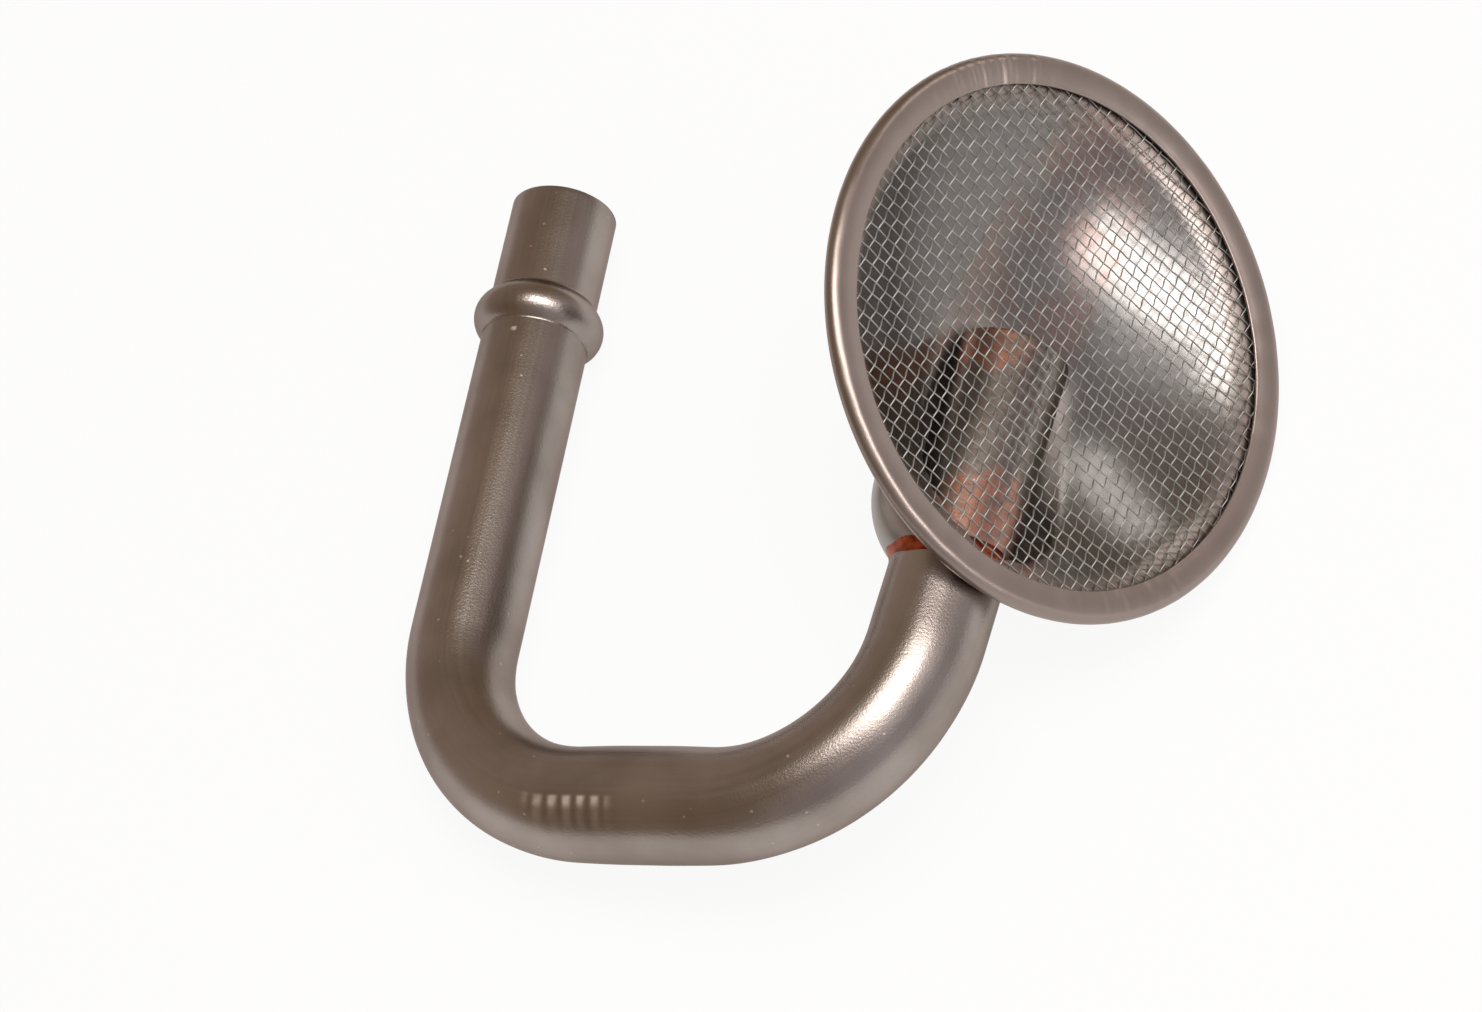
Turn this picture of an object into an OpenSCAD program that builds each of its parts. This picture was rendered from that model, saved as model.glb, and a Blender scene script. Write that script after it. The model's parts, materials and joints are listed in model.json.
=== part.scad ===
/* [Tube] */
// Outside diameter of the tube
tube_od = 19.05; // [16:0.05:22]
// Wall thickness of the tube
tube_wall = 1.5; // [1:0.1:2]
// Straight length from the press-in end to the first bend
leg_length = 87.6; // [60:0.1:140]
// Centre-line radius of both bends
bend_r = 32.3; // [28:0.1:45]
// Angle turned by the first bend
first_bend = 87; // [75:0.5:95]
// Straight length between the two bends
cross_length = 23.6; // [10:0.1:60]
// Angle turned by the second bend
second_bend = 85.5; // [75:0.5:95]
// Straight length from the second bend to the middle of the strainer
riser_length = 54.3; // [52:0.1:90]
// How far the tube's inner end stops short of the strainer's middle
inner_setback = 1; // [0:0.5:20]

/* [Press-in end] */
// Distance from the end of the tube to the middle of the bead
bead_at = 24; // [12:0.1:45]
// Outside diameter of the bead
bead_od = 23.4; // [22:0.1:27]
// Radius of the bead's rounded section
bead_r = 4.2; // [3.5:0.1:6]

/* [Strainer] */
// Outside diameter of the rolled rim
rim_od = 95.2; // [88:0.1:120]
// Width of the rim's folded face, from its outside edge to the mouth
rim_face = 5.4; // [4.5:0.1:8]
// Thickness of the cup's sheet
sheet = 1.2; // [0.8:0.1:1.6]
// Depth of the cup's shallow dish from the middle of the screen
cup_depth = 16; // [13:0.1:24]
// Distance from the tube's axis to the middle of the screen
screen_offset = 11.8; // [11.5:0.1:14]
// Turn of the strainer about the tube, out of the plane of the bends
strainer_turn = 26; // [0:1:60]
// Outside radius of the socket drawn in the cup around the tube
socket_r = 15; // [13:0.1:16]
// Distance from the edge of the mouth in to the centre of the socket's outer round end
socket_inset = 13.2; // [12:0.1:18]
// Play between the tube's inner end and the socket's inner round end
end_play = 1; // [0.5:0.1:5]

/* [Screen] */
// Thickness of the woven screen, two wires deep
screen_t = 0.9; // [0.6:0.1:1.4]
// Distance between neighbouring wires
wire_pitch = 7.6; // [7.4:0.1:16]
// Width of one wire
wire_w = 1.5; // [1:0.1:3]
// Turn of the weave in its own plane
weave_turn = 81; // [0:1:90]
// Play between the screen's edge and the fold of the rim
screen_play = 0.4; // [0.2:0.1:1]
// Width of the screen's edge that is pressed flat in the fold
screen_edge = 3; // [1:0.1:3.2]

/* [Braze] */
// Gap between the tube and its hole in the cup, filled with copper
braze_gap = 0.15; // [0.05:0.05:0.4]
// Length of the copper fillet along the tube, each side of the wall
braze_length = 2.5; // [2:0.1:6]
// Height of the copper fillet from the tube's surface
braze_height = 1.6; // [1:0.1:4]

/* [Resting place] */
// Rise of the bent end when the part lies on its leg and its rim
rest_roll = 12.4; // [0:0.1:30]

/* [Hidden] */
$fn = 96;
past = 1;
tube_r = tube_od / 2;
bore_r = tube_r - tube_wall;
bead_centre_r = bead_od / 2 - bead_r;

// The rim is the cup's sheet folded round the edge of the screen
fold_in_r = screen_t / 2;
fold_out_r = fold_in_r + sheet;
fold_centre_r = rim_od / 2 - fold_out_r;
mouth_r = rim_od / 2 - rim_face;
screen_r = fold_centre_r + fold_in_r - screen_play;

// The dish is a cap of a sphere that meets the fold at the mouth
dish_r = mouth_r + sheet;
dish_rise = cup_depth - fold_in_r;
dish_sphere_r = (dish_r * dish_r + dish_rise * dish_rise) / (2 * dish_rise);
dish_centre_z = dish_sphere_r - cup_depth;

// The socket runs along the tube, from clear of the tube's inner end to near the mouth's edge
socket_start = inner_setback - end_play + sqrt(pow(socket_r - sheet, 2) - tube_r * tube_r);
socket_reach = mouth_r - socket_inset;
cup_reach = max(cup_depth, screen_offset + socket_r) + past;

// Where the tube goes through the socket's outer round end
hole_r = tube_r + braze_gap;
entry = sqrt(pow(socket_r - sheet / 2, 2) - hole_r * hole_r);

// Turns the part about its press-in axis until it lies on a flat surface
module at_rest() rotate([0, -rest_roll, 0]) children();

// Each run of tube starts at the origin and goes along -Y, and each bend turns it towards +X
module past_run(length) translate([0, -length, 0]) children();
module past_bend(angle) translate([bend_r, 0, 0]) rotate([0, 0, angle]) translate([-bend_r, 0, 0]) children();
module to_first_bend() past_run(leg_length) children();
module to_cross() to_first_bend() past_bend(first_bend) children();
module to_second_bend() to_cross() past_run(cross_length) children();
module to_riser() to_second_bend() past_bend(second_bend) children();

// The strainer's own frame: origin in the middle of the screen, +Z out through it, tube from +Y
module at_strainer()
    to_riser() past_run(riser_length)
        rotate([0, strainer_turn - 90, 0]) translate([0, 0, screen_offset]) children();

// The tube's axis inside the strainer's frame, turned so that +Z runs out along the tube
module on_tube_axis() translate([0, 0, -screen_offset]) rotate([-90, 0, 0]) children();

module tube_section() difference() {
    circle(tube_r);
    circle(bore_r);
}

module run(length) rotate([90, 0, 0]) linear_extrude(length) tube_section();

module bend(angle)
    translate([bend_r, 0, 0]) rotate([0, 0, 180])
        rotate_extrude(angle = angle) translate([bend_r, 0]) tube_section();

// Half section of the leg: a plain wall with the bead rolled out of it
module leg_profile() difference() {
    union() {
        translate([bore_r, 0]) square([tube_wall, leg_length]);
        intersection() {
            translate([bead_centre_r, bead_at]) circle(bead_r);
            translate([bore_r, 0]) square([bead_od, leg_length]);
        }
    }
    translate([bead_centre_r, bead_at]) circle(bead_r - tube_wall);
}

module pickup_tube() color("#8a7f79") at_rest() {
    rotate([90, 0, 0]) rotate_extrude() leg_profile();
    to_first_bend() bend(first_bend);
    to_cross() run(cross_length);
    to_second_bend() bend(second_bend);
    to_riser() run(riser_length - inner_setback);
}

// Dish and socket as one solid form, drawn in by the given inset
module cup_form(inset) {
    translate([0, 0, dish_centre_z]) sphere(dish_sphere_r - inset);
    on_tube_axis() {
        translate([0, 0, socket_start]) cylinder(r = socket_r - inset, h = socket_reach - socket_start);
        for (end = [socket_start, socket_reach]) translate([0, 0, end]) sphere(socket_r - inset);
    }
}

// Everything behind the fold of the rim
module behind_fold() translate([0, 0, -cup_reach]) cylinder(r = rim_od, h = cup_reach - fold_in_r);

// Section of the rim: back sheet, roll and front sheet round the slot for the screen
module fold_profile() difference() {
    union() {
        translate([mouth_r, -fold_out_r]) square([fold_centre_r - mouth_r, 2 * fold_out_r]);
        translate([fold_centre_r, 0]) circle(fold_out_r);
    }
    translate([mouth_r - past, -fold_in_r]) square([fold_centre_r - mouth_r + past, 2 * fold_in_r]);
    translate([fold_centre_r, 0]) circle(fold_in_r);
}

// The pressed wall behind the fold, with the hole for the tube
module cup_wall() difference() {
    intersection() {
        cup_form(0);
        behind_fold();
    }
    cup_form(sheet);
    on_tube_axis() cylinder(r = hole_r, h = rim_od);
}

module strainer_cup() color("#857a74") at_rest() at_strainer() {
    cup_wall();
    rotate_extrude() fold_profile();
}

// One wire: a low ridge with a round back, long enough to cross the screen
module wire(side)
    rotate([90, 0, 0]) linear_extrude(2 * screen_r, center = true) intersection() {
        crown = (wire_w * wire_w / 4 + screen_t * screen_t / 4) / screen_t;
        translate([0, side * (screen_t / 2 - crown)]) circle(crown);
        square([wire_w, screen_t], center = true);
    }

// Wires in one direction, all on one side of the screen's middle
module wires(side) {
    count = floor(screen_r / wire_pitch);
    for (i = [-count : count]) translate([i * wire_pitch, 0, 0]) wire(side);
}

module screen() color("#b9b9b6") at_rest() at_strainer() {
    intersection() {
        rotate([0, 0, weave_turn]) {
            wires(1);
            rotate([0, 0, 90]) wires(-1);
        }
        cylinder(r = screen_r, h = screen_t, center = true);
    }
    difference() {
        cylinder(r = screen_r, h = screen_t, center = true);
        cylinder(r = screen_r - screen_edge, h = screen_t + past, center = true);
    }
}

// The copper is a low ridge round the tube, less the wall of the cup that it runs through
module braze() color("#b5714a") at_rest() at_strainer() difference() {
    on_tube_axis() rotate_extrude() translate([tube_r, socket_reach + entry])
        polygon([[0, -braze_length], [braze_height, 0], [0, braze_length]]);
    cup_wall();
}

pickup_tube();
strainer_cup();
screen();
braze();
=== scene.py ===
"""Looks of a press-in oil pickup: bent steel tube, pressed strainer cup, woven screen and copper braze."""

import json
import logging
import math
from dataclasses import dataclass
from enum import Enum
from typing import Any

import bmesh
import bpy
import numpy as np
from mathutils import Matrix, Vector


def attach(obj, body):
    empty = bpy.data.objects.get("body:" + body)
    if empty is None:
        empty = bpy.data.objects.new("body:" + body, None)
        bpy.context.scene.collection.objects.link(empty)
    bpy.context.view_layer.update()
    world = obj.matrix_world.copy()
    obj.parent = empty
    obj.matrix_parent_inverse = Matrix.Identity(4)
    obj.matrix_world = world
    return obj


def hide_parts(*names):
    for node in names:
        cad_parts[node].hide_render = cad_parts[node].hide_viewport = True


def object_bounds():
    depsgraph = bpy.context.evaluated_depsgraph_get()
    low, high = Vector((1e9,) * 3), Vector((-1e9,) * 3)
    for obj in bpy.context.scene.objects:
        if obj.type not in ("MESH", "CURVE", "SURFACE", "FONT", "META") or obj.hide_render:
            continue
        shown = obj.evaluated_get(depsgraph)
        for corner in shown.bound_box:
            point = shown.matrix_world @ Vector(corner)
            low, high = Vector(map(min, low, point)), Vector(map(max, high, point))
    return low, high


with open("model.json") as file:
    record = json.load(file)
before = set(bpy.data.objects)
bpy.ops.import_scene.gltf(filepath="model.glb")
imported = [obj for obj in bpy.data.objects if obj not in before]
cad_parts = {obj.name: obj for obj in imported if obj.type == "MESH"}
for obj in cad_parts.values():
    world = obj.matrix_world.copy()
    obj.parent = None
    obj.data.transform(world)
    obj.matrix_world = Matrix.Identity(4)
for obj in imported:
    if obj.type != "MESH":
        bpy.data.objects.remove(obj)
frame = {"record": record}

MM = 0.001
BODY = "root"
CAD_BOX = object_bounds()
LOG = logging.getLogger("oil_pickup")
# Sockets of a Mix node, which has a pair of inputs for each kind of value
NUMBER_A, NUMBER_B = 2, 3
COLOUR_A, COLOUR_B = 6, 7
MIXED_COLOUR = 2


class Piece(Enum):
    """The real pieces, each with its node and its material slot."""

    TUBE = ("pickup_tube", "tube_steel")
    CUP = ("strainer_cup", "cup_steel")
    SCREEN = ("screen", "screen_wire")
    BRAZE = ("braze", "copper")


class WireSet(Enum):
    """The two sets of wires in the weave: their turn in degrees and how far they wave, in millimetres."""

    WARP = (0.0, 0.26)
    WEFT = (90.0, -0.09)


def linear(hex_code: str) -> tuple[float, float, float, float]:
    """Turns an sRGB hex value to linear colour.

    Args:
        hex_code: six hex digits after a hash sign.

    Returns:
        Linear red, green and blue, with an alpha of 1.
    """
    values = [int(hex_code[i : i + 2], 16) / 255 for i in (1, 3, 5)]
    red, green, blue = [v / 12.92 if v <= 0.04045 else ((v + 0.055) / 1.055) ** 2.4 for v in values]
    return red, green, blue, 1.0


def add_node(
    tree: bpy.types.NodeTree, kind: str, inputs: dict[Any, Any] | None = None, **settings: Any
) -> bpy.types.Node:
    """Adds a node, sets its properties and fills or links its inputs.

    Args:
        tree: the tree that gets the node.
        kind: the node's type name.
        inputs: socket names or numbers, each with a value or with the output socket to link from.
        settings: the node's properties and their values.

    Returns:
        The new node.
    """
    node = tree.nodes.new(kind)
    for name, value in settings.items():
        setattr(node, name, value)
    for key, value in (inputs or {}).items():
        if isinstance(value, bpy.types.NodeSocket):
            tree.links.new(value, node.inputs[key])
        else:
            node.inputs[key].default_value = value
    return node


def smooth_step(low: float, high: float, value: np.ndarray) -> np.ndarray:
    """Goes smoothly from 0 at low to 1 at high.

    Args:
        low: value that gives 0.
        high: value that gives 1.
        value: values to judge.

    Returns:
        Weights from 0 to 1.
    """
    t = np.clip((value - low) / (high - low), 0.0, 1.0)
    return t * t * (3.0 - 2.0 * t)


def soft_max(a: np.ndarray, b: np.ndarray, blend: Any) -> np.ndarray:
    """The larger of two fields, with the crease between them rounded.

    Args:
        a: first field.
        b: second field.
        blend: width of the rounding, in the fields' unit.

    Returns:
        The blended field.
    """
    h = np.maximum(blend - np.abs(a - b), 0.0) / np.maximum(blend, 1e-9)
    return np.maximum(a, b) + h * h * blend * 0.25


def turned_by(degrees: np.ndarray, middle: float) -> np.ndarray:
    """How far angles lie from a middle one, from -180 to 180 degrees."""
    return (degrees - middle + 180.0) % 360.0 - 180.0


def unit_arc(degrees: np.ndarray) -> list[tuple[float, float]]:
    """Points on a circle of radius 1.

    Args:
        degrees: angles of the points.

    Returns:
        Their two coordinates.
    """
    return [(math.cos(a), math.sin(a)) for a in np.radians(degrees)]


def turns_of(columns: int) -> np.ndarray:
    """Evenly spaced angles round one turn, in radians."""
    return np.arange(columns) * 2 * math.pi / columns


@dataclass(frozen=True)
class RingWaves:
    """Seeded waves round a ring. Each closes on itself, with at least fewest crests and fewer than under."""

    seed: int
    fewest: int
    under: int
    count: int

    def heights(self, angles: np.ndarray) -> np.ndarray:
        """Adds up the waves.

        Args:
            angles: places round the ring, in radians.

        Returns:
            Heights of about -1 to 1.
        """
        draw = np.random.default_rng(self.seed)
        total = np.zeros_like(angles)
        for number in draw.choice(np.arange(self.fewest, self.under), self.count):
            total += np.sin(number * angles + draw.uniform(0.0, 2.0 * math.pi))
        return total / math.sqrt(self.count)


def grid_object(
    name: str, rows: np.ndarray, closed: bool, uv: np.ndarray | None = None
) -> bpy.types.Object:
    """Makes a closed mesh from rings of points.

    Args:
        name: name of the object.
        rows: rings of points in millimetres, shaped (rings, points, 3).
        closed: true joins the last ring to the first, false closes both ends with a fan.
        uv: ring and point places for the UV map, shaped (rings, points + 1, 2), or None.

    Returns:
        The new object, linked to the scene.
    """
    rings, points = rows.shape[:2]
    verts = [tuple(p) for p in rows.reshape(-1, 3) * MM]
    faces: list[tuple[int, ...]] = []
    places: list[tuple[int, int]] = []
    for i in range(rings if closed else rings - 1):
        for j in range(points):
            k, m = (i + 1) % rings, (j + 1) % points
            faces.append((i * points + j, i * points + m, k * points + m, k * points + j))
            places.append((i, j))
    if not closed:
        for ring in (0, rings - 1):
            pole = len(verts)
            verts.append(tuple(rows[ring].mean(axis=0) * MM))
            for j in range(points):
                faces.append((ring * points + j, ring * points + (j + 1) % points, pole))
    mesh = bpy.data.meshes.new(name)
    mesh.from_pydata(verts, [], faces)
    if uv is not None:
        layer = mesh.uv_layers.new(name="Along")
        for polygon, (i, j) in zip(mesh.polygons, places):
            k = (i + 1) % rings
            for loop, (a, b) in zip(polygon.loop_indices, ((i, j), (i, j + 1), (k, j + 1), (k, j))):
                layer.data[loop].uv = uv[a, b]
    mesh.polygons.foreach_set("use_smooth", [True] * len(mesh.polygons))
    piece = bpy.data.objects.new(name, mesh)
    bpy.context.scene.collection.objects.link(piece)
    outward(piece)
    return piece


def outward(piece: bpy.types.Object) -> None:
    """Turns every face of a closed mesh outwards.

    Args:
        piece: the object whose mesh is turned.
    """
    work = bmesh.new()
    work.from_mesh(piece.data)
    bmesh.ops.recalc_face_normals(work, faces=work.faces)
    work.to_mesh(piece.data)
    work.free()


def point_values(piece: bpy.types.Object, name: str, values: np.ndarray) -> None:
    """Stores one number for each point of a mesh.

    Args:
        piece: the object.
        name: the attribute's name.
        values: one value for each point.
    """
    layer = piece.data.attributes.new(name, "FLOAT", "POINT")
    full = np.zeros(len(piece.data.vertices), np.float32)
    full[: len(values)] = values
    layer.data.foreach_set("value", full)


def plain_mesh(piece: bpy.types.Object) -> bpy.types.Mesh:
    """The mesh of an object with its modifiers applied."""
    return bpy.data.meshes.new_from_object(piece.evaluated_get(bpy.context.evaluated_depsgraph_get()))


def hand_over(piece: bpy.types.Object, role: Piece, material: bpy.types.Material) -> None:
    """Dresses a finished piece and puts it in the place of its node.

    Args:
        piece: the finished object.
        role: which real piece it is.
        material: its finish.
    """
    node, slot = role.value
    if not piece.data.materials:
        piece.data.materials.append(material)
    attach(piece, BODY)
    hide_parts(node)
    triangles = sum(len(p.vertices) - 2 for p in piece.data.polygons)
    LOG.info("%s stands for %s with %d triangles", piece.name, node, triangles)


def bare_metal(name: str) -> tuple[bpy.types.Material, bpy.types.Node, bpy.types.NodeSocket]:
    """Starts the finish of a bare metal.

    Args:
        name: name of the material.

    Returns:
        The material, its shader, and the socket with places on the piece.
    """
    material = bpy.data.materials.new(name)
    material.use_nodes = True
    shader = material.node_tree.nodes["Principled BSDF"]
    shader.inputs["Metallic"].default_value = 1.0
    place = add_node(material.node_tree, "ShaderNodeTexCoord")
    return material, shader, place.outputs["Object"]


@dataclass(frozen=True)
class BentPath:
    """The tube's centre line, in millimetres and degrees, as the part lies at rest."""

    leg: float = 87.6
    bend_r: float = 32.3
    first_bend: float = 87.0
    cross: float = 23.6
    second_bend: float = 85.5
    riser: float = 54.3
    rest_roll: float = 12.4

    @property
    def length(self) -> float:
        """Length of the whole centre line."""
        turned = math.radians(self.first_bend + self.second_bend)
        return self.leg + self.cross + self.riser + turned * self.bend_r

    @property
    def bends(self) -> tuple[tuple[float, float], tuple[float, float]]:
        """Where each bend starts and ends along the line."""
        first_end = self.leg + math.radians(self.first_bend) * self.bend_r
        second = first_end + self.cross
        return (self.leg, first_end), (second, second + math.radians(self.second_bend) * self.bend_r)

    def at(self, along: float) -> tuple[np.ndarray, np.ndarray]:
        """Point and axes on the line.

        Args:
            along: distance from the press-in end.

        Returns:
            The point, and a matrix whose columns point into the bend, back along the line and up.
        """
        roll = math.radians(self.rest_roll)
        axes = np.array(Matrix.Rotation(-roll, 3, "Y"))
        point = np.zeros(3)
        for is_bend, size in (
            (False, self.leg),
            (True, self.first_bend),
            (False, self.cross),
            (True, self.second_bend),
            (False, self.riser),
        ):
            if is_bend:
                step = min(along, math.radians(size) * self.bend_r)
                centre = point + axes[:, 0] * self.bend_r
                axes = axes @ np.array(Matrix.Rotation(step / self.bend_r, 3, "Z"))
                point = centre - axes[:, 0] * self.bend_r
            else:
                step = min(along, size)
                point = point - axes[:, 1] * step
            along -= step
        return point, axes


@dataclass(frozen=True)
class DrawnSteel:
    """Cold-drawn low-carbon tube, tumbled: a warm satin grey with faint lines along its length."""

    name: str = "drawn_steel"
    light: str = "#aaa19c"
    dark: str = "#948a84"
    edge: str = "#c8bfba"
    copper: str = "#cc9682"
    scuff: str = "#dfd5ce"
    roughness: float = 0.3
    # Least and most change of roughness across the drawn lines
    satin: tuple[float, float] = (-0.02, 0.03)
    scuff_roughness: float = 0.62
    scuff_depth: float = 1.5
    line_mm: float = 0.7
    line_length_mm: float = 40.0
    line_share: float = 0.12
    line_range: tuple[float, float] = (0.3, 0.7)
    cloud_mm: float = 18.0
    cloud_range: tuple[float, float] = (0.32, 0.68)
    patch_mm: float = 2.2
    patch_range: tuple[float, float] = (0.35, 0.6)
    patch_least: float = 0.2
    speck_mm: float = 4.0
    speck_range: tuple[float, float] = (0.03, 0.09)
    speck_share: float = 0.5
    # The real grain is finer than this and would not show
    grain_mm: float = 0.4
    grain_strength: float = 0.55
    grain_depth_mm: float = 0.06

    def material(self, scars: "tuple[ToothMarks, ...]") -> bpy.types.Material:
        """Builds the finish.

        Args:
            scars: the rows of marks that it shows.

        Returns:
            The material.
        """
        material, shader, place = bare_metal(self.name)
        tree = material.node_tree
        shader.inputs["Specular Tint"].default_value = linear(self.edge)
        along = add_node(tree, "ShaderNodeUVMap", uv_map="Along").outputs[0]
        stretch = (1 / (self.line_mm * MM), 1 / (self.line_length_mm * MM), 1.0)
        lines_at = add_node(tree, "ShaderNodeMapping", {"Vector": along, "Scale": stretch}).outputs[0]
        lines, clouds, blotches, grain = [
            add_node(
                tree, "ShaderNodeTexNoise", {"Vector": spot, "Scale": scale, "Detail": detail}
            ).outputs[0]
            for spot, scale, detail in (
                (lines_at, 1.0, 3.0),
                (place, 1 / (self.cloud_mm * MM), 4.0),
                (place, 1 / (self.patch_mm * MM), 4.0),
                (place, 1 / (self.grain_mm * MM), 2.0),
            )
        ]
        flecks = add_node(
            tree, "ShaderNodeTexVoronoi", {"Vector": place, "Scale": 1 / (self.speck_mm * MM)}
        )
        both = add_node(
            tree,
            "ShaderNodeMix",
            {0: self.line_share, NUMBER_A: clouds, NUMBER_B: lines},
            data_type="FLOAT",
        )
        spread, patches, specks = [
            add_node(
                tree,
                "ShaderNodeMapRange",
                {"Value": value, "From Min": low, "From Max": high, "To Min": first, "To Max": last},
                interpolation_type="SMOOTHSTEP",
            ).outputs[0]
            for value, (low, high), first, last in (
                (both.outputs[0], self.cloud_range, 0.0, 1.0),
                (blotches, self.patch_range, self.patch_least, 1.0),
                (flecks.outputs["Distance"], self.speck_range, self.speck_share, 0.0),
            )
        ]
        film = add_node(tree, "ShaderNodeAttribute", attribute_name="copper")
        wetted = add_node(
            tree, "ShaderNodeMath", {0: film.outputs["Fac"], 1: patches}, operation="MULTIPLY"
        )
        marks = specks
        for scar in scars:
            marks = add_node(
                tree, "ShaderNodeMath", {0: marks, 1: scar.mask(tree, along)}, operation="MAXIMUM"
            ).outputs[0]
        colour = linear(self.dark)
        for share, tint in ((spread, self.light), (wetted.outputs[0], self.copper), (marks, self.scuff)):
            colour = add_node(
                tree,
                "ShaderNodeMix",
                {0: share, COLOUR_A: colour, COLOUR_B: linear(tint)},
                data_type="RGBA",
            ).outputs[MIXED_COLOUR]
        tree.links.new(colour, shader.inputs["Base Color"])
        satin = add_node(
            tree,
            "ShaderNodeMapRange",
            {
                "Value": lines,
                "From Min": self.line_range[0],
                "From Max": self.line_range[1],
                "To Min": self.roughness + self.satin[0],
                "To Max": self.roughness + self.satin[1],
            },
        )
        rough = add_node(
            tree,
            "ShaderNodeMix",
            {0: marks, NUMBER_A: satin.outputs[0], NUMBER_B: self.scuff_roughness},
            data_type="FLOAT",
        )
        tree.links.new(rough.outputs[0], shader.inputs["Roughness"])
        dent = add_node(
            tree, "ShaderNodeMath", {0: marks, 1: -self.scuff_depth, 2: grain}, operation="MULTIPLY_ADD"
        )
        bump = add_node(
            tree,
            "ShaderNodeBump",
            {
                "Strength": self.grain_strength,
                "Distance": self.grain_depth_mm * MM,
                "Height": dent.outputs[0],
            },
        )
        tree.links.new(bump.outputs[0], shader.inputs["Normal"])
        return material


@dataclass(frozen=True)
class ToothMarks:
    """A row of shallow clamp-tooth marks on the outside of the first bend, in millimetres."""

    first: float = 131.0
    spacing: float = 2.65
    count: int = 7
    around: float = 18.7
    height: float = 2.8
    trail: float = 6.5
    trail_share: float = 0.35
    tooth_range: tuple[float, float] = (0.02, 0.42)
    full_share: float = 0.3
    worn_mm: float = 3.0
    worn_range: tuple[float, float] = (0.05, 0.55)

    def mask(self, tree: bpy.types.NodeTree, along: bpy.types.NodeSocket) -> bpy.types.NodeSocket:
        """Adds the nodes that find the marks.

        Args:
            tree: the tree of the tube's finish.
            along: the tube's own map, metres around and along.

        Returns:
            The socket that is 1 in the middle of a mark and 0 away from them.
        """
        split = add_node(tree, "ShaderNodeSeparateXYZ", {0: along})
        row = add_node(
            tree,
            "ShaderNodeMapRange",
            {
                "Value": split.outputs["Y"],
                "From Min": (self.first - self.spacing / 2) * MM,
                "From Max": (self.first + self.spacing / 2) * MM,
            },
            clamp=False,
        ).outputs[0]
        wave = add_node(tree, "ShaderNodeMath", {0: row, 1: 0.5}, operation="PINGPONG")
        middle = add_node(tree, "ShaderNodeMath", {0: row, 1: self.count / 2}, operation="SUBTRACT")
        away = add_node(tree, "ShaderNodeMath", {0: middle.outputs[0]}, operation="ABSOLUTE")
        around, half = split.outputs["X"], self.height / 2
        tooth, inside, head, blob, streak = [
            add_node(
                tree,
                "ShaderNodeMapRange",
                {"Value": value, "From Min": start, "From Max": end, "To Min": first, "To Max": last},
                interpolation_type="SMOOTHSTEP",
            ).outputs[0]
            for value, start, end, first, last in (
                (wave.outputs[0], *self.tooth_range, 0.0, 1.0),
                (away.outputs[0], self.count * self.full_share, self.count / 2, 1.0, 0.0),
                (around, (self.around - half) * MM, (self.around - half / 2) * MM, 0.0, 1.0),
                (around, self.around * MM, (self.around + half) * MM, 1.0 - self.trail_share, 0.0),
                (around, self.around * MM, (self.around + self.trail) * MM, self.trail_share, 0.0),
            )
        ]
        fade = add_node(tree, "ShaderNodeMath", {0: blob, 1: streak}, operation="ADD")
        worn = add_node(
            tree,
            "ShaderNodeTexNoise",
            {"Vector": along, "Scale": 1 / (self.worn_mm * MM), "Detail": 1.0},
            noise_dimensions="2D",
        )
        patchy = add_node(
            tree,
            "ShaderNodeMapRange",
            {"Value": worn.outputs[0], "From Min": self.worn_range[0], "From Max": self.worn_range[1]},
        )
        total = inside
        for factor in (tooth, head, fade.outputs[0], patchy.outputs[0]):
            product = add_node(tree, "ShaderNodeMath", {0: total, 1: factor}, operation="MULTIPLY")
            total = product.outputs[0]
        return total


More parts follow.
